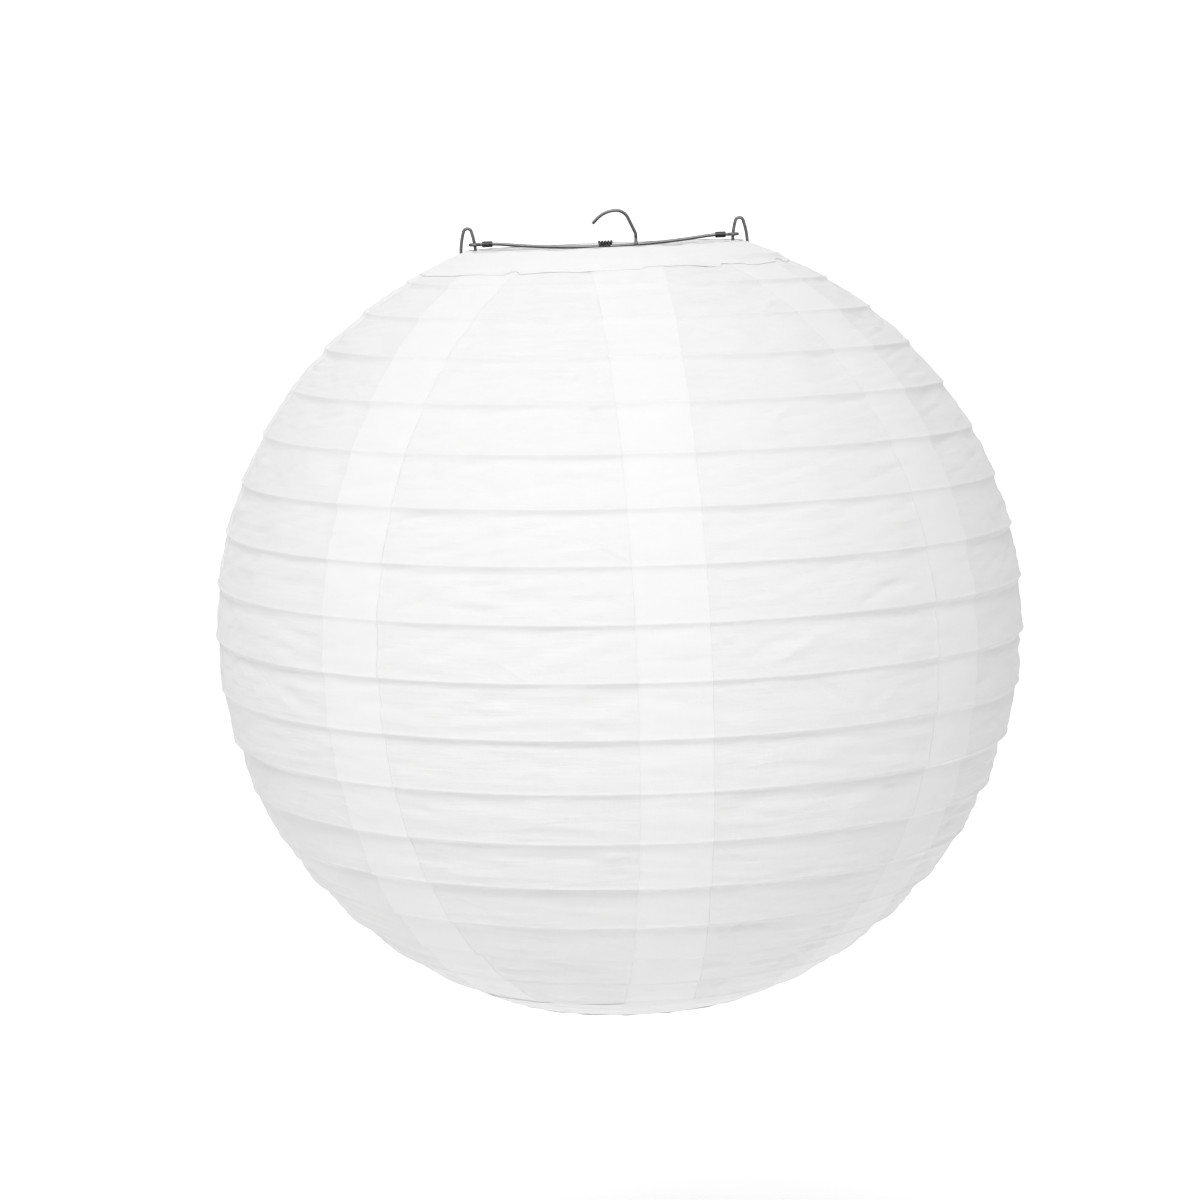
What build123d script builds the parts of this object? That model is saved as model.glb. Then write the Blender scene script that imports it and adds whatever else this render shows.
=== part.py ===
from build123d import *
import math
import os

os.makedirs("parts", exist_ok=True)

# Round accordion paper lantern on a wire expander, in millimetres.
# The origin is the seat inside the top of the hanging hook, +Z is up and -Y is the front.

# The paper globe
GLOBE_R = 152.0            # middle of the paper at the widest place
GLOBE_OFF = 3.2            # centre of the globe's section arc, outwards from the axis
PAPER = 0.3                # thickness of one layer of paper
LAP_GAP = 0.05             # between a lap and the panel below it
LAP_ANGLE = 9.4            # azimuth that one glued lap covers, degrees
GORES = 8
FIRST_SEAM = 276.5         # azimuth of the middle of the front lap, degrees from +X
PAPER_TOP = 19.75          # angle of the paper's upper edge on the section arc, degrees

# The wire
WIRE = 1.2                 # expander, rings and hook
RIB_WIRE = 1.0             # spiral rib
CLEAR = 0.3                # running clearance between wires that turn on each other

# The lantern's axis and levels
HOOK_LEAN = 24.0           # lean of the hook's shank, degrees
HOOK_FOOT_BEND = 2.5       # radius of the bend at the shank's foot
HOOK_TOP_BEND = 5.0        # radius of the bend from the shank to the seat
HOOK_SHANK = 6.0
HOOK_OFFSET = 12.0         # where the hook goes round the crossbar, from the lantern's axis
lean = math.radians(HOOK_LEAN)
HOOK_X = HOOK_FOOT_BEND * (1 - math.cos(lean)) + HOOK_SHANK * math.sin(lean)
HOOK_X += HOOK_TOP_BEND * math.cos(lean)
AXIS_X = HOOK_X - HOOK_OFFSET
RING_Z = -13.6             # plane of the top ring
BAR_RISE = 3.6             # from the ring's plane to the crossbar's ends
RING_RISE = 139.7          # from the globe's centre to each ring
RING_R = 51.4
CENTRE_Z = RING_Z - RING_RISE
BOTTOM_Z = CENTRE_Z - RING_RISE

# The expander's legs
LEG_R = 48.2               # of the straight leg, from the lantern's axis
EYE_R = 2.3                # lower half of the eye, round the ring
EYE_LEFT = 49.5            # the eye's shoulders, from the lantern's axis
EYE_RIGHT = 52.4
EYE_SHOULDER = 8.6         # height of the shoulders above the ring's plane
FOOT_REACH = 52.9          # end of the foot, from the lantern's axis
FOOT_BEND = 2.0
EYE_END = 225              # where the eye's free end stops, degrees

# The crossbar, a long loop of one wire
BAR_SAG = 2.6
BAR_STRAND_Y = 0.65        # each strand, from the middle of the bar
BAR_BEND = 37.0            # where the sag turns back to level
BAR_LEVEL = 43.5           # where it is level
SLEEVE = (41.8, 45.6)      # start and end of each crimped sleeve
TIE_WIRE = 0.9
TIE_TURNS = 4

# The spiral rib
RIB_START = 17.0           # section angle that its half turns count from, degrees
RIB_HALF_PITCH = 3.7875    # section angle of half a turn, degrees
RIB_HALF_TURNS = (1, 37)   # the half turns at which it begins and ends

# The hems, folded over the rings
HEM_FOLD = 18.35           # section angle of the fold, degrees
HEM_INNER = 20.7           # section angle of the inner edge, degrees
HEM_OUTER = 26.6           # section angle of the outer edge, degrees
HEM_IN_R = 149.7
HEM_OUT_R = 152.6
NOTCH_OUT = 51.0           # middle of the gap for an eye or a foot, from the lantern's axis
NOTCH_LIFT = 1.0           # middle of that gap, past the ring's plane
NOTCH_SIZE = (9.0, 4.8, 10.0)

axis_line = Axis((AXIS_X, 0, CENTRE_Z), (0, 0, 1))


def polar(radius, angle):
    """A point of the globe's section: its layer's radius at the widest place, and its angle."""
    turn = math.radians(angle)
    arc = radius - GLOBE_OFF
    return (GLOBE_OFF + arc * math.sin(turn), arc * math.cos(turn))


def section_plane(azimuth):
    """The half plane through the lantern's axis at an azimuth, x outwards and y up."""
    turn = math.radians(azimuth)
    return Plane(
        origin=(AXIS_X, 0, CENTRE_Z),
        x_dir=(math.cos(turn), math.sin(turn), 0),
        z_dir=(math.sin(turn), -math.cos(turn), 0),
    )


def shell_sector(inner, outer, azimuth, sweep_angle, start=PAPER_TOP, end=180 - PAPER_TOP):
    """A thin round shell between two section angles, swept about the lantern's axis."""
    middle = (start + end) / 2
    with BuildPart() as shell:
        with BuildSketch(section_plane(azimuth)):
            with BuildLine():
                outside = ThreePointArc(polar(outer, start), polar(outer, middle), polar(outer, end))
                inside = ThreePointArc(polar(inner, start), polar(inner, middle), polar(inner, end))
                Line(outside @ 0, inside @ 0)
                Line(outside @ 1, inside @ 1)
            make_face()
        revolve(axis=axis_line, revolution_arc=sweep_angle)
    return shell.part


# Gaps at both sides of both rings, where the eyes and the feet pass
notches = [
    (AXIS_X + side * NOTCH_OUT, 0, CENTRE_Z + level * (RING_RISE + NOTCH_LIFT))
    for side in (1, -1)
    for level in (1, -1)
]


# ---------------------------------------------------------------- hanging hook
def bar_height(x):
    """The crossbar's middle, from the height of its ends, near the lantern's axis."""
    turn = 2 * math.atan(BAR_SAG / BAR_LEVEL)
    radius = BAR_BEND / math.sin(turn)
    return -BAR_SAG + radius - math.sqrt(radius**2 - x**2)


HOOK_EYE_R = 2.1
HOOK_EYE_END = 98          # where the eye's free end stops, degrees
HOOK_EYE_MIDDLE = (HOOK_EYE_END + 360) / 2
HOOK_RISE = 1.76           # height of each half of the bend that centres the shank
HOOK_EYE_Z = RING_Z + BAR_RISE + bar_height(HOOK_OFFSET)
seat_drop = HOOK_TOP_BEND * (1 - math.sin(lean))
shank_top = (HOOK_TOP_BEND * math.cos(lean), WIRE / 2 - seat_drop)
shank_foot_z = HOOK_EYE_Z + 2 * HOOK_RISE + HOOK_FOOT_BEND * math.sin(lean)
shank_foot_x = HOOK_X - HOOK_FOOT_BEND * (1 - math.cos(lean))
HOOK_NOSE = ((-4.07, -0.26), (-6.96, -2.2))
HOOK_TIP = (-8.83, -4.0)


def hook_eye_point(angle):
    """A point of the eye round the crossbar, at an angle from +Y, degrees."""
    turn = math.radians(angle)
    return (HOOK_X, HOOK_EYE_R * math.cos(turn), HOOK_EYE_Z + HOOK_EYE_R * math.sin(turn))


with BuildPart() as hanging_hook:
    with BuildLine() as hook_path:
        run = ThreePointArc(
            hook_eye_point(HOOK_EYE_END), hook_eye_point(HOOK_EYE_MIDDLE), hook_eye_point(360)
        )
        half = (HOOK_X, HOOK_EYE_R / 2, HOOK_EYE_Z + HOOK_RISE)
        run = TangentArc(run @ 1, half, tangent=run % 1)
        run = TangentArc(run @ 1, (HOOK_X, 0, HOOK_EYE_Z + 2 * HOOK_RISE), tangent=run % 1)
        foot = (shank_foot_x, 0, shank_foot_z)
        run = TangentArc(run @ 1, foot, tangent=run % 1)
        run = Line(run @ 1, (shank_top[0], 0, shank_top[1]))
        run = TangentArc(run @ 1, (0, 0, WIRE / 2), tangent=run % 1)
        for x, z in HOOK_NOSE:
            run = TangentArc(run @ 1, (x, 0, z), tangent=run % 1)
        Line(run @ 1, (HOOK_TIP[0], 0, HOOK_TIP[1]))
    with BuildSketch(Plane(origin=hook_path.line @ 0, z_dir=hook_path.line % 0)):
        Circle(WIRE / 2)
    sweep()
hanging_hook.part.label = "hanging_hook"
export_step(hanging_hook.part, "parts/hanging_hook.step")

# ---------------------------------------------------------------- crossbar
# One wire bent into a long loop. Its ends meet under the centre tie, and each end of the loop
# goes round the inner side of a leg's eye.
LOOP_PLAY = 0.2            # room for a leg's swing
LOOP_R = WIRE + CLEAR + LOOP_PLAY
eye_side_r = (EYE_SHOULDER**2 + (EYE_LEFT - LEG_R) ** 2) / (2 * (EYE_LEFT - LEG_R))
LOOP_X = LEG_R + BAR_RISE**2 / (2 * eye_side_r)
LOOP_FLARE = 2.0           # radius of the bend where the strands part
BAR_END_GAP = 0.4          # between the ends of the crossbar's wire
flare_run = math.sqrt((LOOP_FLARE + LOOP_R) ** 2 - (LOOP_FLARE + BAR_STRAND_Y) ** 2)
flare_share = LOOP_FLARE / (LOOP_FLARE + LOOP_R)
FLARE_X = LOOP_X - flare_run
MEET_X = FLARE_X + flare_run * flare_share
MEET_Y = BAR_STRAND_Y + LOOP_FLARE - (LOOP_FLARE + BAR_STRAND_Y) * flare_share


def bar_point(x, y, rise=0.0):
    return (AXIS_X + x, y, RING_Z + BAR_RISE + rise)


with BuildPart() as crossbar:
    with BuildLine() as bar_path:
        run = None
        for side in (1, -1):
            y = -side * BAR_STRAND_Y
            if run is None:
                start = bar_point(0, y, -BAR_SAG)
                heading = (side, 0, 0)
            else:
                start = run @ 1
                heading = run % 1
            bend = bar_point(side * BAR_BEND, y, bar_height(BAR_BEND))
            run = TangentArc(start, bend, tangent=heading)
            run = TangentArc(run @ 1, bar_point(side * BAR_LEVEL, y), tangent=run % 1)
            run = Line(run @ 1, bar_point(side * FLARE_X, y))
            run = TangentArc(run @ 1, bar_point(side * MEET_X, -side * MEET_Y), tangent=run % 1)
            far = bar_point(side * (LOOP_X + LOOP_R), 0)
            run = ThreePointArc(run @ 1, far, bar_point(side * MEET_X, side * MEET_Y))
            run = TangentArc(run @ 1, bar_point(side * FLARE_X, -y), tangent=run % 1)
            run = Line(run @ 1, bar_point(side * BAR_LEVEL, -y))
            bend = bar_point(side * BAR_BEND, -y, bar_height(BAR_BEND))
            run = TangentArc(run @ 1, bend, tangent=run % 1)
            end_x = 0 if side == 1 else -BAR_END_GAP
            end = bar_point(end_x, -y, bar_height(end_x))
            run = TangentArc(run @ 1, end, tangent=run % 1)
    with BuildSketch(Plane(origin=bar_path.line @ 0, z_dir=bar_path.line % 0)):
        Circle(WIRE / 2)
    sweep()
crossbar.part.label = "crossbar"
export_step(crossbar.part, "parts/crossbar.step")

# ---------------------------------------------------------------- centre tie
# Fine wire wound round both strands where the ends of the crossbar's wire meet.
TIE_GAP = 0.1              # between the tie and the strands
TIE_SPACE = 0.25           # between the tie's turns
TIE_START = -1.8           # from the lantern's axis
TIE_R = BAR_STRAND_Y + WIRE / 2 + TIE_WIRE / 2 + TIE_GAP
TIE_PITCH = TIE_WIRE + TIE_SPACE
tie_start = bar_point(TIE_START, 0, -BAR_SAG)
TIE_LENGTH = TIE_PITCH * TIE_TURNS
with BuildPart() as centre_tie:
    with BuildLine() as tie_path:
        Helix(TIE_PITCH, TIE_LENGTH, TIE_R, center=tie_start, direction=(1, 0, 0))
    with BuildSketch(Plane(origin=tie_path.line @ 0, z_dir=tie_path.line % 0)):
        Circle(TIE_WIRE / 2)
    sweep(is_frenet=True)
centre_tie.part.label = "centre_tie"
export_step(centre_tie.part, "parts/centre_tie.step")

# ---------------------------------------------------------------- crimped sleeves
SLEEVE_WALL = 0.45
SLEEVE_PLAY = 0.06


def make_sleeve(side):
    """A flattened tube crimped over both strands beside a leg."""
    start = Plane(origin=bar_point(side * SLEEVE[0], 0), x_dir=(0, 1, 0), z_dir=(side, 0, 0))
    hole_height = WIRE + 2 * SLEEVE_PLAY
    hole_width = hole_height + 2 * BAR_STRAND_Y
    with BuildPart() as sleeve:
        with BuildSketch(start):
            SlotOverall(hole_width + 2 * SLEEVE_WALL, hole_height + 2 * SLEEVE_WALL)
            SlotOverall(hole_width, hole_height, mode=Mode.SUBTRACT)
        extrude(amount=SLEEVE[1] - SLEEVE[0])
    return sleeve.part


# ---------------------------------------------------------------- legs
def make_leg(side):
    """An eye round the top ring, a straight leg, and a foot that bears on the bottom ring."""

    def place(out, rise):
        return Vector(AXIS_X + side * out, 0, RING_Z + rise)

    foot_rise = BOTTOM_Z - RING_Z + WIRE + CLEAR
    knee = place(LEG_R, foot_rise + FOOT_BEND)
    toe = place(LEG_R + FOOT_BEND, foot_rise)
    low = math.radians(EYE_END)
    eye_end = place(RING_R + EYE_R * math.cos(low), EYE_R * math.sin(low))
    with BuildPart() as leg:
        with BuildLine() as leg_path:
            run = ThreePointArc(eye_end, place(RING_R, -EYE_R), place(RING_R + EYE_R, 0))
            run = TangentArc(run @ 1, place(EYE_RIGHT, EYE_SHOULDER), tangent=(0, 0, 1))
            run = TangentArc(run @ 1, place(EYE_LEFT, EYE_SHOULDER), tangent=run % 1)
            run = TangentArc(run @ 1, place(LEG_R, 0), tangent=run % 1)
            run = Line(run @ 1, knee)
            run = TangentArc(knee, toe, tangent=(0, 0, -1))
            Line(toe, place(FOOT_REACH, foot_rise))
        with BuildSketch(Plane(origin=leg_path.line @ 0, z_dir=leg_path.line % 0)):
            Circle(WIRE / 2)
        sweep()
    return leg.part


for name, side in (("left", -1), ("right", 1)):
    sleeve = make_sleeve(side)
    sleeve.label = name + "_sleeve"
    export_step(sleeve, "parts/" + sleeve.label + ".step")
    leg = make_leg(side)
    leg.label = name + "_leg"
    export_step(leg, "parts/" + leg.label + ".step")

# ---------------------------------------------------------------- rings and hems
FOLD_INSIDE = HEM_FOLD + math.degrees(PAPER / GLOBE_R)


def hem_point(radius, angle, level):
    """A corner of a hem's section: level is 1 at the top ring and -1 at the bottom ring."""
    out, up = polar(radius, angle)
    return (out, level * up)


for name, level in (("top", 1), ("bottom", -1)):
    with BuildPart() as ring:
        with BuildSketch(section_plane(0)):
            with Locations((RING_R, level * RING_RISE)):
                Circle(WIRE / 2)
        revolve(axis=axis_line)
    ring.part.label = name + "_ring"
    export_step(ring.part, "parts/" + ring.part.label + ".step")

    corners = [
        (HEM_IN_R, HEM_FOLD),
        (HEM_IN_R, HEM_INNER),
        (HEM_IN_R + PAPER, HEM_INNER),
        (HEM_IN_R + PAPER, FOLD_INSIDE),
        (HEM_OUT_R, FOLD_INSIDE),
        (HEM_OUT_R, HEM_OUTER),
        (HEM_OUT_R + PAPER, HEM_OUTER),
        (HEM_OUT_R + PAPER, HEM_FOLD),
    ]
    with BuildPart() as hem:
        with BuildSketch(section_plane(0)):
            with BuildLine():
                for (radius, angle), (next_radius, next_angle) in zip(corners, corners[1:] + corners[:1]):
                    here = hem_point(radius, angle, level)
                    there = hem_point(next_radius, next_angle, level)
                    if radius == next_radius:
                        middle = hem_point(radius, (angle + next_angle) / 2, level)
                        ThreePointArc(here, middle, there)
                    else:
                        Line(here, there)
            make_face()
        revolve(axis=axis_line)
        with Locations(notches):
            Box(*NOTCH_SIZE, mode=Mode.SUBTRACT)
    hem.part.label = name + "_hem"
    export_step(hem.part, "parts/" + hem.part.label + ".step")

# ---------------------------------------------------------------- spiral rib
# Half turns, each a semicircle from side to side, joined smoothly at the two sides.
RIB_GAP = 0.1              # between the rib and the paper
RIB_R = GLOBE_R - PAPER / 2 - RIB_GAP - RIB_WIRE / 2


def rib_point(k):
    """The spiral's k-th crossing of the section through both legs."""
    out, up = polar(RIB_R, RIB_START + RIB_HALF_PITCH * k)
    side = 1 if k % 2 == 0 else -1
    return Vector(AXIS_X + side * out, 0, CENTRE_Z + up)


with BuildPart() as rib_spiral:
    with BuildLine():
        for k in range(*RIB_HALF_TURNS):
            here = rib_point(k)
            there = rib_point(k + 1)
            bulge = Vector(0, (there - here).length / 2, 0)
            if k % 2 == 1:
                bulge = -bulge
            ThreePointArc(here, (here + there) * 0.5 + bulge, there)
    with BuildSketch(Plane(origin=rib_point(RIB_HALF_TURNS[0]), z_dir=(0, 1, 0))):
        Circle(RIB_WIRE / 2)
    sweep()
rib_spiral.part.label = "rib_spiral"
export_step(rib_spiral.part, "parts/rib_spiral.step")

# ---------------------------------------------------------------- paper gores
# Each panel spans one eighth of the globe. Past its last edge it steps outwards by one layer
# and laps over the next panel.
PANEL_IN = GLOBE_R - PAPER / 2
PANEL_OUT = GLOBE_R + PAPER / 2
FLAP_IN = PANEL_OUT + LAP_GAP
FLAP_OUT = FLAP_IN + PAPER
EDGE_GAP = 0.05            # azimuth between neighbouring panels' edges, degrees
STEP_ANGLE = 0.3           # azimuth of the step, degrees
gore_angle = 360 / GORES
for number in range(GORES):
    first = FIRST_SEAM - LAP_ANGLE / 2 + gore_angle * number + EDGE_GAP
    last = first + gore_angle - 2 * EDGE_GAP
    step = last - STEP_ANGLE
    layers = [
        shell_sector(PANEL_IN, PANEL_OUT, first, last - first),
        shell_sector(PANEL_IN, FLAP_OUT, step, STEP_ANGLE),
        shell_sector(FLAP_IN, FLAP_OUT, step, STEP_ANGLE + LAP_ANGLE),
    ]
    with BuildPart() as gore:
        add(layers)
        with Locations(notches):
            Box(*NOTCH_SIZE, mode=Mode.SUBTRACT)
    gore.part.label = "paper_gore_" + str(number + 1)
    export_step(gore.part, "parts/" + gore.part.label + ".step")
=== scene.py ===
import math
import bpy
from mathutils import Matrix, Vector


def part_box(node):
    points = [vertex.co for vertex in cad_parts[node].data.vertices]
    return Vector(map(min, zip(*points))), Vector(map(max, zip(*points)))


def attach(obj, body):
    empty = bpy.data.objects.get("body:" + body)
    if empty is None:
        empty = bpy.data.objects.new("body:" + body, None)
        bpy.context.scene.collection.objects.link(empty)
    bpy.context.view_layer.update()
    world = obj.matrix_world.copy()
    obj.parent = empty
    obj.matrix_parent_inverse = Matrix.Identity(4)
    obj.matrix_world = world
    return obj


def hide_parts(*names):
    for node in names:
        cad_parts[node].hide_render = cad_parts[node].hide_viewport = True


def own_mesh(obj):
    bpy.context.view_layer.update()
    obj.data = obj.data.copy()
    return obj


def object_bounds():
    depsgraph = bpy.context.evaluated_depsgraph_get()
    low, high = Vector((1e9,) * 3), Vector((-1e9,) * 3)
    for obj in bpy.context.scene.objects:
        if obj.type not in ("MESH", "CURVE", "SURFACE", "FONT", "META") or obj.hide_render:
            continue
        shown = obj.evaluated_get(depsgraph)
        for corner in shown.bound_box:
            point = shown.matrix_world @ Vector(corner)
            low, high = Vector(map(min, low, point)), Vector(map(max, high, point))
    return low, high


bl_info = {
    "name": "Accordion Paper Lantern",
    "version": (1, 0, 0),
    "blender": (4, 5, 0),
    "location": "3D View > Sidebar > Lantern",
    "description": "Builds the paper, rib and finishes of a round accordion paper lantern on its frame",
    "category": "Add Mesh",
}

import bmesh
import bpy
import numpy as np
from bpy.props import FloatProperty, FloatVectorProperty, IntProperty, PointerProperty
from mathutils import Matrix, Vector

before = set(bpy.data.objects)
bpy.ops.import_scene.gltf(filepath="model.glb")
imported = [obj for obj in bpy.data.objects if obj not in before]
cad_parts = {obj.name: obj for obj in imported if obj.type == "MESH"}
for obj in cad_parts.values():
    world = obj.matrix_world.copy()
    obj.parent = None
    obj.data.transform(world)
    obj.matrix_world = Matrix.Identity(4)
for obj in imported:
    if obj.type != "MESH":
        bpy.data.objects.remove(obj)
cad_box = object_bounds()

# ------------------------------------------------------------------ places, from the frame
MM = 0.001
GORES = 8


def box_middle(node):
    low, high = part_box(node)
    return (Vector(low) + Vector(high)) / 2


def box_size(node):
    low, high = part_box(node)
    return Vector(high) - Vector(low)


TOP = box_middle("top_ring")
BOTTOM = box_middle("bottom_ring")
CENTRE = (TOP + BOTTOM) / 2
WIRE_R = box_size("top_ring").z / 2
RING_R = box_size("top_ring").y / 2 - WIRE_R
RIB_WIRE_R = 0.5 * MM
PAPER_R = 152.0 * MM                # middle of the paper at the globe's widest place
RIB_R = PAPER_R - 0.75 * MM
GLOBE_OFF = 3.2 * MM                # centre of the globe's section arc, outwards from the axis
RING_RISE = TOP.z - CENTRE.z
PAPER_TOP = math.radians(19.75)     # angle of the panels' upper edges on the section arc

# The spiral rib: its section angle grows evenly with its turns, counted from +X
PITCH = math.radians(7.575)
RIB_START = math.radians(17.0)
RIB_TURNS = 18.5
RIB_FIRST_TURN = 0.5
FRONT_LAP = math.radians(276.5)     # azimuth of the middle of the front lap


def globe_point(radius, polar, azimuth):
    """Points of the globe: a layer's radius at the widest place, section angle, azimuth."""
    arc = radius - GLOBE_OFF
    flat = GLOBE_OFF + arc * np.sin(polar)
    x = CENTRE.x + flat * np.cos(azimuth)
    y = CENTRE.y + flat * np.sin(azimuth)
    z = CENTRE.z + arc * np.cos(polar)
    return np.stack([x, y, z], axis=-1)


# ------------------------------------------------------------------ settings
class PaperSettings(bpy.types.PropertyGroup):
    """Sizes and colours of the paper."""

    thickness: FloatProperty(
        name="Thickness", description="Thickness of one layer of paper",
        default=0.11 * MM, unit="LENGTH",
    )
    lap_width: FloatProperty(
        name="Lap width", description="Width of the glued lap between two panels",
        default=25 * MM, unit="LENGTH",
    )
    lap_lift: FloatProperty(
        name="Lap lift", description="How far a lap stands off the panel under it",
        default=0.125 * MM, unit="LENGTH",
    )
    sag: FloatProperty(
        name="Sag", description="How far the paper falls in between two turns of the rib",
        default=1.6 * MM, unit="LENGTH",
    )
    wrinkle: FloatProperty(
        name="Wrinkle", description="Height of the fine wrinkles along the turns",
        default=0.21 * MM, unit="LENGTH",
    )
    crease: FloatProperty(
        name="Crease", description="Depth of the short slanting creases",
        default=0.95 * MM, unit="LENGTH",
    )
    creases: IntProperty(
        name="Creases", description="Slanting creases on each panel", default=44,
    )
    colour: FloatVectorProperty(
        name="Colour", description="One layer of paper", subtype="COLOR", size=3,
        default=(0.850, 0.850, 0.846),
    )
    # painted light: the lap colour is lighter than one layer's, standing in for less of the dark, unlit
    # inside showing through two layers
    lap_painted_light_colour: FloatVectorProperty(
        name="Lap colour", description="Two layers of paper", subtype="COLOR", size=3,
        default=(0.900, 0.900, 0.896),
    )


class WireSettings(bpy.types.PropertyGroup):
    """Colours of the wire and the sleeves."""

    colour: FloatVectorProperty(
        name="Wire", description="Drawn steel wire", subtype="COLOR", size=3,
        default=(0.22, 0.22, 0.22),
    )
    rib_colour: FloatVectorProperty(
        name="Rib", description="Wire of the spiral rib and the rings", subtype="COLOR", size=3,
        default=(0.55, 0.55, 0.54),
    )
    sleeve_colour: FloatVectorProperty(
        name="Sleeve", description="Crimped sleeves and the tie", subtype="COLOR", size=3,
        default=(0.09, 0.09, 0.09),
    )


class StageSettings(bpy.types.PropertyGroup):
    """Camera, floor and lights."""

    distance: FloatProperty(
        name="Distance", description="From the camera to the globe's centre",
        default=1.265, unit="LENGTH",
    )
    elevation: FloatProperty(
        name="Elevation", description="Camera's height angle over the globe's centre",
        default=math.radians(7.1), subtype="ANGLE",
    )
    roll: FloatProperty(
        name="Roll", description="How far the camera leans to its right",
        default=math.radians(2.4), subtype="ANGLE",
    )
    lens: FloatProperty(
        name="Lens", description="Focal length in millimetres", default=99.9,
    )
    floor_drop: FloatProperty(
        name="Floor drop", description="From the lantern's lowest point to the floor",
        default=0.25, unit="LENGTH",
    )
    key_power: FloatProperty(name="Key light", description="Power in watts", default=38.0)
    world_strength: FloatProperty(name="Sky", description="Strength of the sky", default=0.86)


# ------------------------------------------------------------------ node helpers
def group_socket(group, name, direction, kind="NodeSocketFloat", default=None):
    socket = group.interface.new_socket(name=name, in_out=direction, socket_type=kind)
    if default is not None:
        socket.default_value = default
    return socket


def add_math(tree, operation, first, second=None, third=None, clamp=False):
    node = tree.nodes.new("ShaderNodeMath")
    node.operation = operation
    node.use_clamp = clamp
    for socket, value in zip(node.inputs, (first, second, third)):
        if value is None:
            continue
        if isinstance(value, (int, float)):
            socket.default_value = value
        else:
            tree.links.new(value, socket)
    return node.outputs[0]


def add_noise(tree, vector, scale, detail=2.0, roughness=0.5):
    node = tree.nodes.new("ShaderNodeTexNoise")
    node.inputs["Scale"].default_value = scale
    node.inputs["Detail"].default_value = detail
    node.inputs["Roughness"].default_value = roughness
    tree.links.new(vector, node.inputs["Vector"])
    return node.outputs["Fac"]


def add_mapping(tree, vector, scale=(1, 1, 1), rotation=(0, 0, 0)):
    node = tree.nodes.new("ShaderNodeMapping")
    node.inputs["Scale"].default_value = scale
    node.inputs["Rotation"].default_value = rotation
    tree.links.new(vector, node.inputs["Vector"])
    return node.outputs["Vector"]


def add_mix(tree, share, first, second):
    node = tree.nodes.new("ShaderNodeMix")
    node.data_type = "RGBA"
    tree.links.new(share, node.inputs["Factor"])
    for name, value in (("A", first), ("B", second)):
        socket = next(s for s in node.inputs if s.name == name and s.type == "RGBA")
        if isinstance(value, bpy.types.NodeSocket):
            tree.links.new(value, socket)
        else:
            socket.default_value = (*value, 1)
    return next(s for s in node.outputs if s.type == "RGBA")


def new_material(name):
    """An empty node material with its Principled shader."""
    material = bpy.data.materials.new(name)
    material.use_nodes = True
    tree = material.node_tree
    shader = next(n for n in tree.nodes if n.type == "BSDF_PRINCIPLED")
    return material, tree, shader


def add_bump(tree, shader, height, distance, strength=1.0):
    """A bump on top of any that the shader already has."""
    node = tree.nodes.new("ShaderNodeBump")
    node.inputs["Distance"].default_value = distance
    node.inputs["Strength"].default_value = strength
    tree.links.new(height, node.inputs["Height"])
    for link in shader.inputs["Normal"].links:
        tree.links.new(link.from_socket, node.inputs["Normal"])
    tree.links.new(node.outputs["Normal"], shader.inputs["Normal"])


def paper_fibre_group():
    """Mottled pulp and long fine fibres of a thin white paper."""
    name = "Paper fibre"
    if name in bpy.data.node_groups:
        return bpy.data.node_groups[name]
    group = bpy.data.node_groups.new(name, "ShaderNodeTree")
    group_socket(group, "Vector", "INPUT", "NodeSocketVector")
    group_socket(group, "Fibre", "INPUT", default=1.0)
    group_socket(group, "Tone", "OUTPUT")
    group_socket(group, "Height", "OUTPUT")
    start = group.nodes.new("NodeGroupInput")
    end = group.nodes.new("NodeGroupOutput")
    vector = start.outputs["Vector"]
    pulp = add_noise(group, vector, 260, 4, 0.6)
    cloud = add_noise(group, vector, 38, 3, 0.55)
    fibres = None
    strands = ((0.5, (240, 2200, 2200)), (-0.9, (2000, 260, 2000)), (1.7, (2100, 2100, 250)))
    for turn, scale in strands:
        stretched = add_mapping(group, vector, scale, (turn, turn * 0.6, turn * 1.3))
        strand = add_noise(group, stretched, 1.0, 1, 0.5)
        strand = add_math(group, "SMOOTH_MAX", add_math(group, "SUBTRACT", strand, 0.60), 0.0, 0.02)
        fibres = strand if fibres is None else add_math(group, "ADD", fibres, strand)
    fibres = add_math(group, "MULTIPLY", fibres, start.outputs["Fibre"])
    tone = add_math(group, "MULTIPLY_ADD", pulp, 0.35, add_math(group, "MULTIPLY", cloud, 0.65))
    group.links.new(add_math(group, "MULTIPLY_ADD", fibres, 1.2, tone), end.inputs["Tone"])
    group.links.new(add_math(group, "MULTIPLY_ADD", fibres, 2.5, pulp), end.inputs["Height"])
    return group


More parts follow.
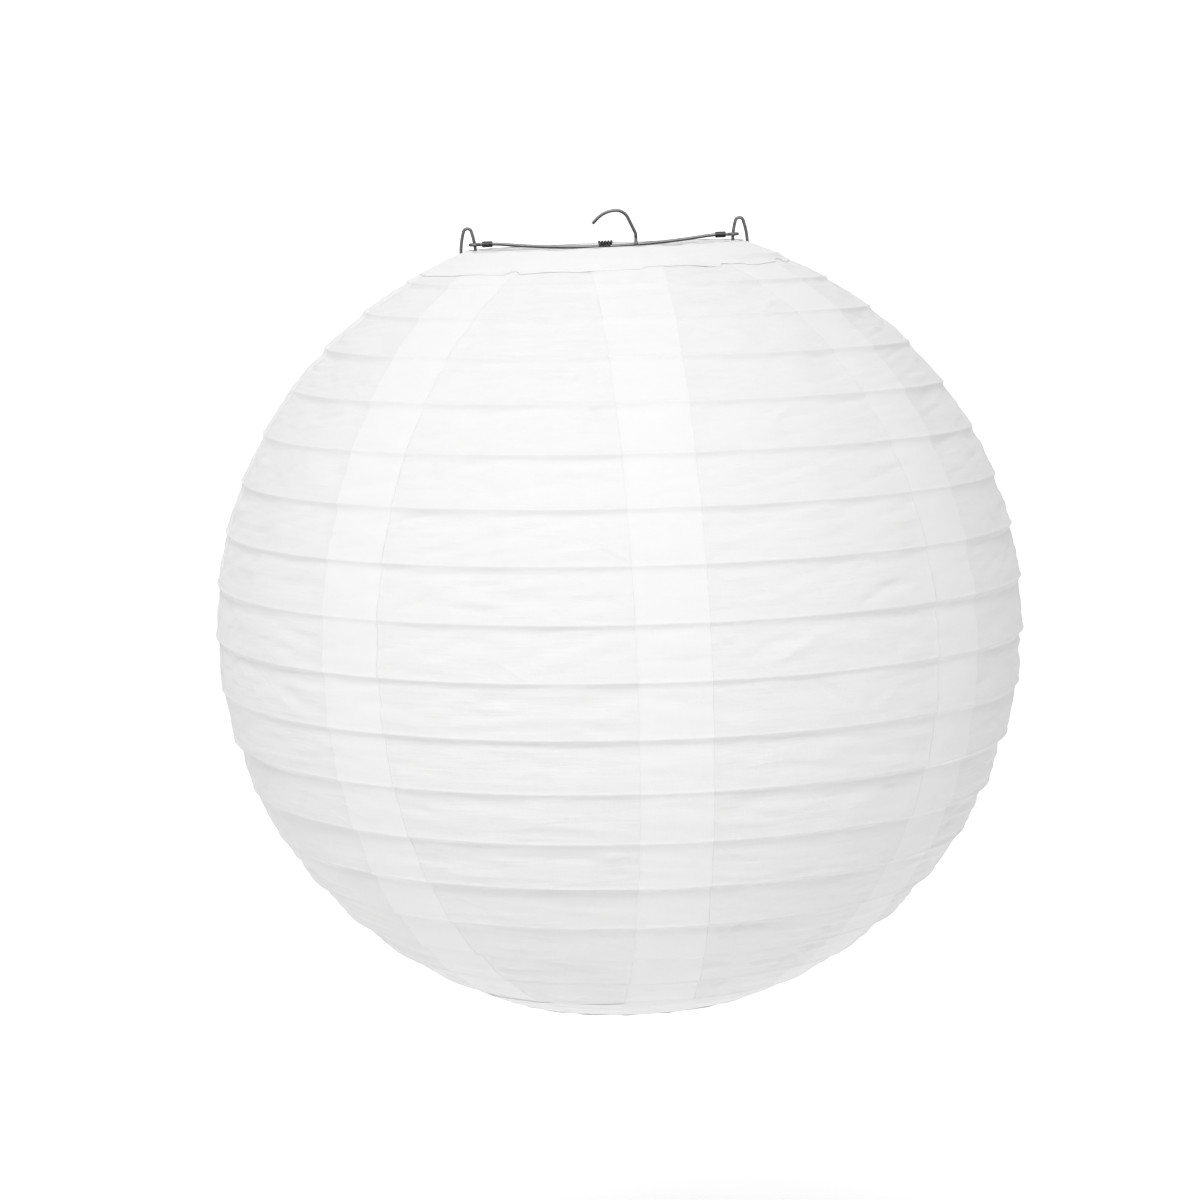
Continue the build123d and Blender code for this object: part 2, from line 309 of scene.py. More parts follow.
def paper_crumple_group():
    """Fine wrinkles along the rib's turns and thin slanting creases, over a panel laid flat."""
    name = "Paper crumple"
    if name in bpy.data.node_groups:
        return bpy.data.node_groups[name]
    group = bpy.data.node_groups.new(name, "ShaderNodeTree")
    group_socket(group, "Vector", "INPUT", "NodeSocketVector")
    group_socket(group, "Wrinkle", "OUTPUT")
    group_socket(group, "Crease", "OUTPUT")
    start = group.nodes.new("NodeGroupInput")
    end = group.nodes.new("NodeGroupOutput")
    vector = start.outputs["Vector"]
    wrinkle = add_noise(group, add_mapping(group, vector, (38, 330, 1)), 1.0, 3, 0.55)
    creases = None
    for turn, scale in ((0.42, (9, 62, 1)), (-0.50, (11, 74, 1)), (0.95, (10, 55, 1))):
        slanted = add_mapping(group, add_mapping(group, vector, rotation=(0, 0, turn)), scale)
        field = add_noise(group, slanted, 1.0, 1, 0.5)
        away = add_math(group, "ABSOLUTE", add_math(group, "SUBTRACT", field, 0.5))
        line = add_math(group, "SUBTRACT", 1.0, add_math(group, "MULTIPLY", away, 14.0), clamp=True)
        spread = add_noise(group, add_mapping(group, vector, (1, 1, 1), (0, 0, turn)), 24.0, 1, 0.5)
        patch = add_math(group, "MULTIPLY", add_math(group, "SUBTRACT", spread, 0.55), 6.0, clamp=True)
        line = add_math(group, "MULTIPLY", line, patch)
        creases = line if creases is None else add_math(group, "MAXIMUM", creases, line)
    group.links.new(wrinkle, end.inputs["Wrinkle"])
    group.links.new(creases, end.inputs["Crease"])
    return group


def add_group(tree, group, vector, **values):
    node = tree.nodes.new("ShaderNodeGroup")
    node.node_tree = group
    tree.links.new(vector, node.inputs["Vector"])
    for name, value in values.items():
        node.inputs[name].default_value = value
    return node


def paper_material(name, single, double, lap_mask=True):
    """White lantern paper; where two layers lie together its colour is painted lighter. This painted
    light stands in for less of the dark, unlit inside showing through.
    """
    material, tree, shader = new_material(name)
    place = tree.nodes.new("ShaderNodeTexCoord").outputs["Object"]
    fibre = add_group(tree, paper_fibre_group(), place, Fibre=1.0)
    tone = fibre.outputs["Tone"]
    dark = tuple(c * 0.98 for c in single)
    light = tuple(min(c * 1.015, 1.0) for c in single)
    plain = add_mix(tree, tone, dark, light)
    if lap_mask:
        lap = tree.nodes.new("ShaderNodeAttribute")
        lap.attribute_name = "lap"
        # painted light: laps take the lighter lap colour, standing in for less of the dark, unlit
        # inside showing through
        deep = tuple(c * 0.99 for c in double)
        high = tuple(min(c * 1.01, 1.0) for c in double)
        lap_painted_lighter = add_mix(tree, tone, deep, high)
        plain = add_mix(tree, lap.outputs["Fac"], plain, lap_painted_lighter)
    tree.links.new(plain, shader.inputs["Base Color"])
    rough = add_math(tree, "MULTIPLY_ADD", tone, 0.14, 0.70, clamp=True)
    tree.links.new(rough, shader.inputs["Roughness"])
    shader.inputs["Specular IOR Level"].default_value = 0.28
    shader.inputs["Sheen Weight"].default_value = 0.08
    shader.inputs["Sheen Roughness"].default_value = 0.6
    shader.inputs["Subsurface Weight"].default_value = 0.5
    shader.inputs["Subsurface Radius"].default_value = (1.0, 1.0, 1.0)
    shader.inputs["Subsurface Scale"].default_value = 0.3 * MM
    add_bump(tree, shader, fibre.outputs["Height"], 0.06 * MM, 0.8)
    if lap_mask:
        flat = tree.nodes.new("ShaderNodeAttribute")
        flat.attribute_name = "flat"
        crumple = add_group(tree, paper_crumple_group(), flat.outputs["Vector"])
        loose = add_math(tree, "MULTIPLY_ADD", lap.outputs["Fac"], -0.6, 1.0)
        wrinkle = add_math(tree, "MULTIPLY", crumple.outputs["Wrinkle"], loose)
        crease = add_math(tree, "MULTIPLY", crumple.outputs["Crease"], loose)
        add_bump(tree, shader, wrinkle, 0.55 * MM, 0.8)
        add_bump(tree, shader, crease, 0.22 * MM, 0.7)
    return material


def wire_group():
    """Drawn wire: mottled zinc, fine grain and dull specks."""
    name = "Drawn wire"
    if name in bpy.data.node_groups:
        return bpy.data.node_groups[name]
    group = bpy.data.node_groups.new(name, "ShaderNodeTree")
    group_socket(group, "Vector", "INPUT", "NodeSocketVector")
    group_socket(group, "Wear", "INPUT", default=0.5)
    group_socket(group, "Tone", "OUTPUT")
    group_socket(group, "Speck", "OUTPUT")
    group_socket(group, "Height", "OUTPUT")
    start = group.nodes.new("NodeGroupInput")
    end = group.nodes.new("NodeGroupOutput")
    vector = start.outputs["Vector"]
    mottle = add_noise(group, vector, 420, 3, 0.6)
    grain = add_noise(group, vector, 2600, 2, 0.5)
    speck = add_noise(group, vector, 900, 2, 0.7)
    level = add_math(group, "MULTIPLY", start.outputs["Wear"], 0.2)
    level = add_math(group, "SUBTRACT", 0.75, level)
    speck = add_math(group, "SUBTRACT", speck, level)
    speck = add_math(group, "MULTIPLY", speck, 9.0, clamp=True)
    group.links.new(mottle, end.inputs["Tone"])
    group.links.new(speck, end.inputs["Speck"])
    group.links.new(add_math(group, "MULTIPLY_ADD", grain, 0.6, mottle), end.inputs["Height"])
    return group


def wire_material(name, colour, roughness, wear):
    """Steel wire with a dull drawn skin."""
    material, tree, shader = new_material(name)
    place = tree.nodes.new("ShaderNodeTexCoord").outputs["Object"]
    skin = add_group(tree, wire_group(), place, Wear=wear)
    dark = tuple(c * 0.7 for c in colour)
    light = tuple(min(c * 1.3, 1.0) for c in colour)
    base = add_mix(tree, skin.outputs["Tone"], dark, light)
    dull = tuple(c * 0.35 for c in colour)
    base = add_mix(tree, skin.outputs["Speck"], base, dull)
    tree.links.new(base, shader.inputs["Base Color"])
    rough = add_math(tree, "MULTIPLY_ADD", skin.outputs["Tone"], 0.25, roughness, clamp=True)
    rough = add_math(tree, "MULTIPLY_ADD", skin.outputs["Speck"], 0.25, rough, clamp=True)
    tree.links.new(rough, shader.inputs["Roughness"])
    shader.inputs["Metallic"].default_value = 1.0
    add_bump(tree, shader, skin.outputs["Height"], 0.03 * MM, 0.6)
    return material


# ------------------------------------------------------------------ paper shape
SAG_LEAST, SAG_MOST = 0.25, 2.0     # limits of the sag's uneven share
SAG_MEAN, SAG_SPREAD = 0.95, 0.38   # middle and spread of that share
SAG_MIDDLE, SAG_GRADE = 0.85, 0.28  # the sag grows from the top to the bottom of the globe
LAP_STIFFNESS = 0.30                # share of the sag that double paper loses
LAP_FLATNESS = 0.45                 # share of the wrinkles that double paper loses
RIDGE = 0.38 * MM                   # height of the paper's ridge over the wire
END_FADE = math.radians(6.5)        # section angle over which the sag dies out at the ends


def waves(seed, count, along, across):
    """Seeded random waves over a surface: wave numbers about 1/along and 1/across, and phases."""
    rng = np.random.default_rng(seed)
    turn = 2 * math.pi
    along_k = rng.normal(0, 1, count) * turn / along
    across_k = rng.uniform(0.5, 1.4, count) * turn / across * rng.choice([-1, 1], count)
    return along_k, across_k, rng.uniform(0, turn, count)


def wave_field(pattern, along, across):
    """A smooth random field of about -1 to 1 at each point."""
    total = np.zeros_like(along)
    for along_k, across_k, phase in zip(*pattern):
        total += np.sin(along * along_k + across * across_k + phase)
    return total / math.sqrt(len(pattern[0]))


def turn_share(polar, azimuth):
    """How far a point lies from the turn of the rib above it to the one below, 0 to 1."""
    turns = (polar - RIB_START) / PITCH - azimuth / (2 * math.pi)
    return turns - np.floor(turns)


def sag_shape(share):
    """Falls in sharply under a turn and comes out slowly to the next one."""
    fall = 1 - np.exp(-((share / 0.072) ** 1.8))
    rise = (1 - share) ** 1.3
    return 1.2 * fall * rise


def rib_bump(share):
    """The paper's small ridge over the wire."""
    near = np.minimum(share, 1 - share)
    return np.exp(-((near / 0.025) ** 2))


def crease_field(seed, count, polar, azimuth, low, high):
    """Short slanting creases, more of them beside the laps."""
    rng = np.random.default_rng(seed)
    total = np.zeros_like(polar)
    for _ in range(count):
        centre_polar = rng.uniform(0.55, 2.75)
        beside = rng.beta(0.45, 0.6)
        centre_azimuth = low + (high - low) * beside
        slant = rng.choice([-1, 1]) * rng.uniform(0.12, 0.75)
        length = rng.uniform(5, 15) * MM
        width = rng.uniform(0.6, 1.3) * MM
        depth = rng.uniform(0.35, 1.0) * rng.choice([1, -1], p=[0.7, 0.3])
        along = (azimuth - centre_azimuth) * PAPER_R * math.sin(centre_polar)
        across = (polar - centre_polar) * PAPER_R
        line = along * math.cos(slant) + across * math.sin(slant)
        off = across * math.cos(slant) - along * math.sin(slant)
        off = off - 0.06 * line * np.sin(line / length * 2.0)
        window = np.exp(-((line / length) ** 4))
        total -= depth * window * np.exp(-((off / width) ** 2))
    return total


def paper_radius(settings, polar, azimuth, firm, seed):
    """Radius of the paper's middle at points of the globe; firm is 1 where two layers are glued."""
    share = turn_share(polar, azimuth)
    along = azimuth * PAPER_R * np.sin(polar)
    across = polar * PAPER_R
    depth_field = wave_field(waves(3, 14, 0.11, 0.06), azimuth * PAPER_R, across)
    uneven = np.clip(SAG_MEAN + SAG_SPREAD * depth_field, SAG_LEAST, SAG_MOST)
    depth = settings.sag * uneven * (1 - LAP_STIFFNESS * firm)
    depth *= SAG_MIDDLE - SAG_GRADE * np.cos(polar)
    edge_fade = np.clip((np.minimum(polar, math.pi - polar) - PAPER_TOP) / END_FADE, 0, 1)
    edge_fade = edge_fade**1.5
    radius = PAPER_R - depth * sag_shape(share) * edge_fade
    radius += RIDGE * rib_bump(share) * edge_fade
    between = 4 * share * (1 - share)
    fine = wave_field(waves(seed + 11, 26, 0.055, 0.0042), along, across)
    broad = wave_field(waves(seed + 23, 16, 0.050, 0.0105), along, across)
    patch = np.clip(0.6 + 0.6 * wave_field(waves(seed + 31, 8, 0.07, 0.045), along, across), 0.05, 1.5)
    loose = edge_fade * between * (1 - LAP_FLATNESS * firm)
    radius += settings.wrinkle * loose * (fine * patch + 1.5 * broad)
    return radius, loose


def mesh_from_bmesh(bm, name, material, smooth=True):
    mesh = bpy.data.meshes.new(name)
    for face in bm.faces:
        face.smooth = smooth
    bm.to_mesh(mesh)
    bm.free()
    mesh.materials.append(material)
    return mesh


def new_piece(name, mesh, body):
    piece = bpy.data.objects.new(name, mesh)
    bpy.context.scene.collection.objects.link(piece)
    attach(piece, body)
    return piece


def squash_with_fold(piece):
    """Gives the piece its own copy of its mesh."""
    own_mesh(piece)


def add_thickness(piece, thickness):
    """Paper thickness, half to each side, with closed edges, made part of the mesh."""
    solid = piece.modifiers.new("Thickness", "SOLIDIFY")
    solid.thickness = thickness
    solid.offset = 0
    solid.use_rim = True
    graph = bpy.context.evaluated_depsgraph_get()
    mesh = bpy.data.meshes.new_from_object(piece.evaluated_get(graph))
    piece.modifiers.clear()
    piece.data = mesh


TURN_STEPS = (0, 0.02, 0.045, 0.075, 0.11, 0.15, 0.2, 0.26, 0.32, 0.38, 0.445, 0.51, 0.575,
              0.64, 0.70, 0.76, 0.82, 0.87, 0.915, 0.955, 0.98)


def gore_rows(azimuth):
    """Polar angles of a panel's rows at its middle, close together at each turn of the rib."""
    rows = []
    first = math.floor((PAPER_TOP - RIB_START) / PITCH) - 1
    for turn in range(first, first + 24):
        for step in TURN_STEPS:
            rows.append(RIB_START + PITCH * (turn + step + azimuth / (2 * math.pi)))
    low = PAPER_TOP + EDGE_MARGIN
    rows = [row for row in rows if low < row < math.pi - low]
    return np.array([PAPER_TOP, *rows, math.pi - PAPER_TOP])


LAP_COLUMNS = 12
PANEL_COLUMNS = 52
EDGE_SHARE = 0.988          # of half a lap, where the row of small faces at its edge begins
LAP_REACH = 0.93            # of half a lap, the span of its even columns
LAP_STEP = 0.004            # of the single paper's width, where it comes out from under a lap
EDGE_MARGIN = 0.0018        # section angle kept clear of rows at a panel's ends, radians
UNDER_REACH = 0.012         # azimuth over which a panel rises to lie over the next, radians
FOLD_IN = math.radians(7.4)  # section angle over which the rows turn to follow the rib
PAPER_SEED = 40             # of the wrinkles that all panels share


def gore_columns():
    """Shares across a lap, -1 to 1, and across the single paper between two laps, 0 to 1."""
    sides = np.linspace(-LAP_REACH, LAP_REACH, LAP_COLUMNS)
    sides = np.concatenate([[-1, -EDGE_SHARE], sides, [EDGE_SHARE, 1]])
    inner = np.linspace(0, 1, PANEL_COLUMNS + 1)[1:-1]
    inner = np.concatenate([[LAP_STEP], inner, [1 - LAP_STEP]])
    return sides, inner


def on_lap(settings, polar, azimuth):
    """1 where two panels lie over each other, else 0."""
    step = 2 * math.pi / GORES
    away = (azimuth - FRONT_LAP + step / 2) % step - step / 2
    half = settings.lap_width / 2 / (PAPER_R * np.sin(polar))
    share = np.clip((1.5 - np.abs(away) / half) / 0.7, 0, 1)
    return share * share * (3 - 2 * share)


def make_gore(settings, number, material):
    first_lap = FRONT_LAP + 2 * math.pi / GORES * number
    next_lap = first_lap + 2 * math.pi / GORES
    middle = (first_lap + next_lap) / 2
    rows = gore_rows(middle % (2 * math.pi))
    sides, inner = gore_columns()
    column_count = 2 * len(sides) + len(inner)
    bm = bmesh.new()
    bmesh.ops.create_grid(bm, x_segments=column_count - 1, y_segments=len(rows) - 1, size=0.5)
    bm.verts.ensure_lookup_table()
    grid = np.array([v.co for v in bm.verts])
    column = np.rint((grid[:, 0] + 0.5) * (column_count - 1)).astype(int)
    row = np.rint((0.5 - grid[:, 1]) * (len(rows) - 1)).astype(int)
    polar = rows[row]
    half = settings.lap_width / 2 / (PAPER_R * np.sin(polar))
    left_share = np.concatenate([sides, np.ones(len(inner) + len(sides))])
    right_share = np.concatenate([-np.ones(len(sides) + len(inner)), sides])
    inner_share = np.concatenate([np.zeros(len(sides)), inner, np.ones(len(sides))])
    low_edge = first_lap + half
    high_edge = next_lap - half
    azimuth = np.where(
        column < len(sides),
        first_lap + half * left_share[column],
        np.where(
            column < len(sides) + len(inner),
            low_edge + (high_edge - low_edge) * inner_share[column],
            next_lap + half * right_share[column],
        ),
    )
    lap = ((column < len(sides)) | (column >= len(sides) + len(inner))).astype(float)
    over = (column >= len(sides) + len(inner)).astype(float)
    fade = np.clip((np.minimum(polar, math.pi - polar) - PAPER_TOP) / FOLD_IN, 0, 1)
    polar = polar + PITCH * (azimuth - middle) / (2 * math.pi) * fade
    turned = azimuth % (2 * math.pi)
    firm = on_lap(settings, polar, azimuth)
    radius, loose = paper_radius(settings, polar, turned, firm, PAPER_SEED)
    creases = crease_field(100 + number, settings.creases, polar, azimuth, low_edge, high_edge)
    radius += settings.crease * creases * loose * (1 - firm)
    under_edge = np.clip((azimuth - high_edge) / UNDER_REACH + 1, 0, 1)
    radius += settings.lap_lift * np.maximum(over, under_edge**3)
    points = globe_point(radius, polar, azimuth)
    for vertex, point in zip(bm.verts, points):
        vertex.co = point
    lap_layer = bm.verts.layers.float.new("lap")
    flat_layer = bm.verts.layers.float_vector.new("flat")
    along = (azimuth - middle) * PAPER_R * np.sin(polar) + number
    for vertex, value, out, down in zip(bm.verts, lap, along, polar * PAPER_R):
        vertex[lap_layer] = value
        vertex[flat_layer] = Vector((out, down, 0))
    bmesh.ops.recalc_face_normals(bm, faces=bm.faces)
    outward = bm.faces[0].normal.dot(bm.faces[0].calc_center_median() - CENTRE)
    if outward < 0:
        bmesh.ops.reverse_faces(bm, faces=bm.faces)
    node = "paper_gore_%d" % (number + 1)
    mesh = mesh_from_bmesh(bm, node + "_paper", material)
    piece = new_piece("paper_panel_%d" % (number + 1), mesh, "expander")
    add_thickness(piece, settings.thickness)
    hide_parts(node)
    return piece


class LANTERN_OT_paper_panels(bpy.types.Operator):
    """Builds the eight paper panels with their laps, sag, wrinkles and creases"""

    bl_idname = "lantern.paper_panels"
    bl_label = "Paper panels"

    def execute(self, context):
        settings = context.scene.lantern_paper
        material = paper_material("Lantern paper", settings.colour, settings.lap_painted_light_colour)
        for number in range(GORES):
            piece = make_gore(settings, number, material)
            squash_with_fold(piece)
        return {"FINISHED"}


# ------------------------------------------------------------------ spiral rib
class LANTERN_OT_spiral_rib(bpy.types.Operator):
    """Builds the one long spiral wire inside the paper"""

    bl_idname = "lantern.spiral_rib"
    bl_label = "Spiral rib"

    def execute(self, context):
        steps_each_turn = 60
        count = int((RIB_TURNS - RIB_FIRST_TURN) * steps_each_turn) + 1
        turns = np.linspace(RIB_FIRST_TURN, RIB_TURNS, count)
        points = globe_point(RIB_R, RIB_START + PITCH * turns, 2 * math.pi * turns)
        curve = bpy.data.curves.new("spiral_rib_path", "CURVE")
        curve.dimensions = "3D"
        curve.bevel_depth = RIB_WIRE_R
        curve.bevel_resolution = 2
        curve.use_fill_caps = True
        spline = curve.splines.new("POLY")
        spline.points.add(count - 1)
        for target, point in zip(spline.points, points):
            target.co = (*point, 1)
        holder = bpy.data.objects.new("spiral_rib_path", curve)
        context.scene.collection.objects.link(holder)
        mesh = bpy.data.meshes.new_from_object(holder.evaluated_get(context.evaluated_depsgraph_get()))
        bpy.data.objects.remove(holder)
        colour = context.scene.lantern_wire.rib_colour
        mesh.materials.clear()
        mesh.materials.append(wire_material("Rib wire", colour, 0.34, 0.4))
        mesh.shade_smooth()
        piece = new_piece("spiral_rib", mesh, "expander")
        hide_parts("rib_spiral")
        squash_with_fold(piece)
        return {"FINISHED"}


# ------------------------------------------------------------------ hems
HEM_TOP = math.radians(18.7)
HEM_EDGE = math.radians(26.4)
HEM_COLUMNS = 400
HEM_ROWS = 18
HEM_GAP = 0.20 * MM         # from the middle of the paper to the middle of the band over it
HEM_RIPPLE = 0.05 * MM
ROLL_R = 1.25 * MM          # of the paper rolled over a ring
ROLL_OUT = 0.2 * MM         # middle of the roll, outwards from the ring
EYE_GAP = 2.4 * MM          # half of the gap for a leg's eye


def hem_edge_angle(azimuth, seed):
    """Polar angle of a hem's torn-looking lower edge."""
    pattern = waves(seed, 9, 0.05, 1.0)
    sway = wave_field(pattern, azimuth * RING_R, np.zeros_like(azimuth))
    rng = np.random.default_rng(seed + 5)
    notches = np.zeros_like(azimuth)
    for _ in range(13):
        centre = rng.uniform(0, 2 * math.pi)
        width = rng.uniform(0.03, 0.09)
        away = (azimuth - centre + math.pi) % (2 * math.pi) - math.pi
        notches += rng.uniform(0.3, 1.0) * np.exp(-((away / width) ** 6))
    return HEM_EDGE + math.radians(0.35) * sway - math.radians(0.9) * np.clip(notches, 0, 1.2)


def hem_body(level):
    """The body that carries a hem: level is 1 at the top ring and -1 at the bottom ring."""
    return "expander" if level == 1 else "bottom"


def make_hem_band(settings, name, level, seed, material):
    """The outside band of a hem, glued over the panels' ends."""
    bm = bmesh.new()
    bmesh.ops.create_grid(bm, x_segments=HEM_COLUMNS, y_segments=HEM_ROWS, size=0.5)
    grid = np.array([v.co for v in bm.verts])
    azimuth = (grid[:, 0] + 0.5) * 2 * math.pi
    drop = 0.5 - grid[:, 1]
    drop = np.where(np.isclose(drop, 1 - 1 / HEM_ROWS), 0.985, drop)
    edge = hem_edge_angle(azimuth % (2 * math.pi), seed)
    polar = HEM_TOP + (edge - HEM_TOP) * drop
    across = polar * PAPER_R
    along = azimuth * RING_R
    ripple = wave_field(waves(seed + 2, 12, 0.020, 0.009), along, across)
    ripple[(grid[:, 0] < -0.499) | (grid[:, 0] > 0.499)] = 0
    fade = np.clip(np.minimum(azimuth, 2 * math.pi - azimuth) / 0.15, 0, 1)
    true_polar = polar if level == 1 else math.pi - polar
    firm = on_lap(settings, true_polar, azimuth)
    turned = azimuth % (2 * math.pi)
    under, _ = paper_radius(settings, true_polar, turned, firm, PAPER_SEED)
    lift = HEM_GAP + settings.lap_lift * firm
    radius = under + lift + HEM_RIPPLE * np.abs(ripple) * fade * drop
    points = globe_point(radius, true_polar, azimuth)
    for vertex, point in zip(bm.verts, points):
        vertex.co = point
    bmesh.ops.remove_doubles(bm, verts=bm.verts, dist=0.01 * MM)
    gap = [
        f for f in bm.faces
        if abs(f.calc_center_median().y) < EYE_GAP
        and abs(f.calc_center_median().z - CENTRE.z) > RING_RISE - 2.2 * MM
    ]
    bmesh.ops.delete(bm, geom=gap, context="FACES")
    bmesh.ops.recalc_face_normals(bm, faces=bm.faces)
    if bm.faces[0].normal.dot(bm.faces[0].calc_center_median() - CENTRE) < 0:
        bmesh.ops.reverse_faces(bm, faces=bm.faces)
    piece = new_piece(name, mesh_from_bmesh(bm, name, material), hem_body(level))
    add_thickness(piece, settings.thickness)
    return piece


def make_hem_roll(settings, name, level, material):
    """The paper rolled over a ring and its short inner edge, with gaps for the legs' eyes."""
    ring_polar = math.atan2(RING_R - GLOBE_OFF, RING_RISE)
    ring_radius = math.hypot(RING_R - GLOBE_OFF, RING_RISE) + GLOBE_OFF
    sections = [(ring_radius + 1.5 * MM, ring_polar + 0.4 * MM / PAPER_R)]
    for step in range(9):
        turn = math.pi * step / 8
        radius = ring_radius + ROLL_OUT + ROLL_R * math.cos(turn)
        sections.append((radius, ring_polar - 1.0 * MM / PAPER_R * math.sin(turn)))
    sections.append((ring_radius - 1.08 * MM, ring_polar + math.radians(0.8)))
    sections.append((ring_radius - 1.05 * MM, ring_polar + math.radians(1.6)))
    bm = bmesh.new()
    gap = math.asin(EYE_GAP / RING_R)
    for side in (0, math.pi):
        section = []
        for radius, polar in sections:
            true_polar = polar if level == 1 else math.pi - polar
            section.append(bm.verts.new(globe_point(radius, true_polar, side + gap)))
        edges = [bm.edges.new(pair) for pair in zip(section, section[1:])]
        bmesh.ops.spin(
            bm, geom=section + edges, cent=CENTRE, axis=(0, 0, 1), angle=math.pi - 2 * gap,
            steps=120, use_duplicate=False,
        )
    for vertex in bm.verts:
        turn = math.atan2(vertex.co.y - CENTRE.y, vertex.co.x - CENTRE.x)
        lift = 0.12 * math.sin(23 * turn + 1.3) + 0.08 * math.sin(41 * turn)
        vertex.co.z += level * lift * MM
    bmesh.ops.recalc_face_normals(bm, faces=bm.faces)
    highest = max(bm.faces, key=lambda f: level * f.calc_center_median().z)
    if level * highest.normal.z < 0:
        bmesh.ops.reverse_faces(bm, faces=bm.faces)
    piece = new_piece(name, mesh_from_bmesh(bm, name, material), hem_body(level))
    add_thickness(piece, settings.thickness)
    return piece


class LANTERN_OT_hems(bpy.types.Operator):
    """Builds the paper hems folded over the two rings"""

    bl_idname = "lantern.hems"
    bl_label = "Hems"

    def execute(self, context):
        settings = context.scene.lantern_paper
        # the hems take the lap colour, painted lighter as painted light for less of the dark inside
        # showing through
        material = paper_material("Hem paper", settings.lap_painted_light_colour, settings.lap_painted_light_colour, lap_mask=False)
        for side, level, seed, anchor in (("top", 1, 7, TOP), ("bottom", -1, 19, BOTTOM)):
            band = make_hem_band(settings, side + "_hem_band", level, seed, material)
            roll = make_hem_roll(settings, side + "_hem_roll", level, material)
            squash_with_fold(band)
            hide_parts(side + "_hem")
            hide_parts(side + "_hem")
        return {"FINISHED"}


# ------------------------------------------------------------------ wire finishes
WIRE_NODES = ("hanging_hook", "crossbar", "left_leg", "right_leg")
RING_NODES = ("top_ring", "bottom_ring")
DARK_NODES = ("left_sleeve", "right_sleeve", "centre_tie")


class LANTERN_OT_wire_finish(bpy.types.Operator):
    """Gives the hook, crossbar, legs, rings and sleeves their metal finishes"""

    bl_idname = "lantern.wire_finish"
    bl_label = "Wire finishes"

    def execute(self, context):
        wire = context.scene.lantern_wire
        finishes = (
            (WIRE_NODES, wire_material("Expander wire", wire.colour, 0.30, 0.6)),
            (RING_NODES, wire_material("Ring wire", wire.rib_colour, 0.34, 0.4)),
            (DARK_NODES, wire_material("Crimped steel", wire.sleeve_colour, 0.42, 0.9)),
        )
        for nodes, material in finishes:
            for name in nodes:
                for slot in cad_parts[name].material_slots:
                    slot.material = material
        return {"FINISHED"}


# ------------------------------------------------------------------ stage
FLOOR_HALF = 2.6            # half of the floor's width
FLOOR_FRONT, FLOOR_BACK = -3, 2.5
FLOOR_BEND = 1.2            # radius of the bend up into the backdrop
WALL_HEIGHT = 5


def make_floor(drop):
    """A pale floor that curves up into a backdrop, with painted light: it glows more and more towards
    the back.
    """
    low = cad_box[0][2] - drop
    bm = bmesh.new()
    front = bm.verts.new((-FLOOR_HALF, FLOOR_FRONT, low))
    foot = bm.verts.new((-FLOOR_HALF, FLOOR_BACK, low))
    bm.edges.new((front, foot))
    curve = bmesh.ops.spin(
        bm, geom=[foot], cent=(-FLOOR_HALF, FLOOR_BACK, low + FLOOR_BEND), axis=(1, 0, 0),
        angle=math.pi / 2, steps=24, use_duplicate=False,
    )
    last = [e for e in curve["geom_last"] if isinstance(e, bmesh.types.BMVert)][0]
    wall = bm.verts.new(last.co + Vector((0, 0, WALL_HEIGHT)))
    bm.edges.new((last, wall))
    swept = bmesh.ops.extrude_edge_only(bm, edges=list(bm.edges))
    moved = [e for e in swept["geom"] if isinstance(e, bmesh.types.BMVert)]
    bmesh.ops.translate(bm, verts=moved, vec=(2 * FLOOR_HALF, 0, 0))
    bmesh.ops.recalc_face_normals(bm, faces=bm.faces)
    material, tree, shader = new_material("Studio floor")
    place = tree.nodes.new("ShaderNodeTexCoord").outputs["Object"]
    cloud = add_noise(tree, place, 1.5, 3)
    pale = add_mix(tree, cloud, (0.90, 0.90, 0.90), (0.93, 0.93, 0.93))
    tree.links.new(pale, shader.inputs["Base Color"])
    shader.inputs["Roughness"].default_value = 0.9
    # painted light: the floor and backdrop glow, from none at the front to most at the back, though
    # they are no lamp
    shader.inputs["Emission Color"].default_value = (1, 1, 1, 1)
    split = tree.nodes.new("ShaderNodeSeparateXYZ")
    tree.links.new(place, split.inputs["Vector"])
    painted_glow = add_math(tree, "MULTIPLY_ADD", split.outputs["Y"], 0.6, 0.2, clamp=True)
    tree.links.new(add_math(tree, "MULTIPLY", painted_glow, 0.5), shader.inputs["Emission Strength"])
    floor = bpy.data.objects.new("floor", mesh_from_bmesh(bm, "floor", material))
    bpy.context.scene.collection.objects.link(floor)


def aim(obj, place, target, roll=0.0):
    """Stands obj at place, looking at target, leaning to its right by roll."""
    back = (place - target).normalized()
    right = Vector((0, 0, 1)).cross(back).normalized()
    up = back.cross(right)
    turn = Matrix((right, up, back)).transposed().to_4x4()
    obj.matrix_world = Matrix.Translation(place) @ turn @ Matrix.Rotation(-roll, 4, "Z")


def add_area_light(name, place, size, power, target):
    data = bpy.data.lights.new(name, "AREA")
    data.energy = power
    data.shape = "RECTANGLE"
    data.size, data.size_y = size
    light = bpy.data.objects.new(name, data)
    bpy.context.scene.collection.objects.link(light)
    aim(light, Vector(place), target)
    return light


KEY_PLACE = Vector((-0.20, -2.2, 1.9))            # of the key light, from the globe's centre
CAMERA_SHIFT = Vector((-7.4 * MM, 7.0 * MM, 0))   # across the camera's view


